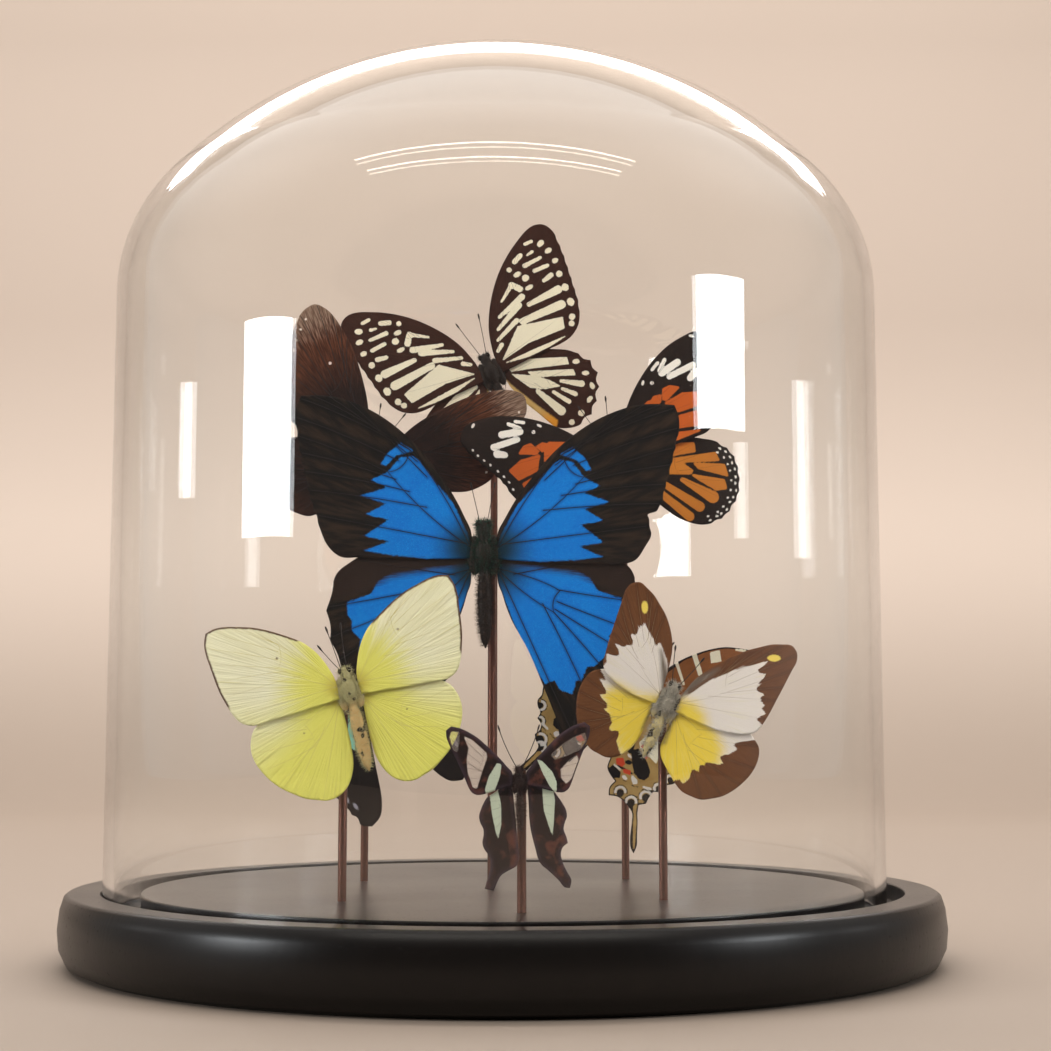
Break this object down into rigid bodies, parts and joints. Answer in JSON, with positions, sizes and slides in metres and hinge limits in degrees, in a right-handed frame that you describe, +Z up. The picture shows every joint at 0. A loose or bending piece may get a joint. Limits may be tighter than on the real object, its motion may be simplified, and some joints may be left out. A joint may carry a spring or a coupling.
{
  "type": "butterfly display under a glass dome",
  "caption": "Dried butterflies held up on thin copper-brown rods under a clear glass dome that stands in the channel of a round black wooden base.",
  "frame": {"origin": "on the floor, at the middle of the round base's underside", "axes": "+Z up through the base and the dome, -Y towards the side from which the butterflies are seen, +X to that viewer's right"},
  "size_m": [0.25, 0.25, 0.2638],
  "materials": {
    "lacquered_wood": "black satin lacquer on turned wood",
    "dome_glass": "clear blown glass, 3 mm thick",
    "copper_rod": "darkened copper-brown rod, satin",
    "dark_body": "dried insect body with fine dark hairs",
    "pale_body": "dried insect body with tan and grey hairs",
    "blue_swallowtail_wing": "bright blue field in velvety black scales",
    "zebra_swallowtail_wing": "cream streaks between dark brown veins",
    "brown_crow_wing": "dark red-brown, paler at the tip",
    "orange_tiger_wing": "orange between black veins, white spots",
    "lemon_yellow_wing": "powdery lemon yellow with a thin dark tip edge",
    "brown_bordered_white_wing": "white and yellow with a jagged brown border",
    "dragontail_wing": "dark brown with mint-white stripes and clear panes",
    "swordtail_wing": "ochre with black, white and red marks",
    "bluebottle_wing": "black with a turquoise band and pale crescents"
  },
  "bodies": {
    "root": {"base": "lacquered_wood", "glass_dome": "dome_glass", "dragontail_rod": "copper_rod", "lemon_yellow_rod": "copper_rod", "brown_bordered_white_rod": "copper_rod", "blue_swallowtail_rod": "copper_rod", "crow_and_bluebottle_rod": "copper_rod", "tiger_and_swordtail_rod": "copper_rod", "zebra_swallowtail_rod": "copper_rod", "blue_swallowtail_body": "dark_body", "blue_swallowtail_forewing_left": "blue_swallowtail_wing", "blue_swallowtail_forewing_right": "blue_swallowtail_wing", "blue_swallowtail_hindwing_left": "blue_swallowtail_wing", "blue_swallowtail_hindwing_right": "blue_swallowtail_wing", "zebra_swallowtail_body": "dark_body", "zebra_swallowtail_forewing_left": "zebra_swallowtail_wing", "zebra_swallowtail_forewing_right": "zebra_swallowtail_wing", "zebra_swallowtail_hindwing_left": "zebra_swallowtail_wing", "zebra_swallowtail_hindwing_right": "zebra_swallowtail_wing", "brown_crow_body": "dark_body", "brown_crow_forewing_left": "brown_crow_wing", "brown_crow_forewing_right": "brown_crow_wing", "brown_crow_hindwing_left": "brown_crow_wing", "brown_crow_hindwing_right": "brown_crow_wing", "orange_tiger_body": "dark_body", "orange_tiger_forewing_left": "orange_tiger_wing", "orange_tiger_forewing_right": "orange_tiger_wing", "orange_tiger_hindwing_left": "orange_tiger_wing", "orange_tiger_hindwing_right": "orange_tiger_wing", "lemon_yellow_body": "pale_body", "lemon_yellow_forewing_left": "lemon_yellow_wing", "lemon_yellow_forewing_right": "lemon_yellow_wing", "lemon_yellow_hindwing_left": "lemon_yellow_wing", "lemon_yellow_hindwing_right": "lemon_yellow_wing", "brown_bordered_white_body": "pale_body", "brown_bordered_white_forewing_left": "brown_bordered_white_wing", "brown_bordered_white_forewing_right": "brown_bordered_white_wing", "brown_bordered_white_hindwing_left": "brown_bordered_white_wing", "brown_bordered_white_hindwing_right": "brown_bordered_white_wing", "dragontail_body": "dark_body", "dragontail_forewing_left": "dragontail_wing", "dragontail_forewing_right": "dragontail_wing", "dragontail_hindwing_left": "dragontail_wing", "dragontail_hindwing_right": "dragontail_wing", "swordtail_body": "dark_body", "swordtail_forewing_left": "swordtail_wing", "swordtail_forewing_right": "swordtail_wing", "swordtail_hindwing_left": "swordtail_wing", "swordtail_hindwing_right": "swordtail_wing", "bluebottle_body": "dark_body", "bluebottle_forewing_left": "bluebottle_wing", "bluebottle_forewing_right": "bluebottle_wing", "bluebottle_hindwing_left": "bluebottle_wing", "bluebottle_hindwing_right": "bluebottle_wing"}
  },
  "joints": []
}
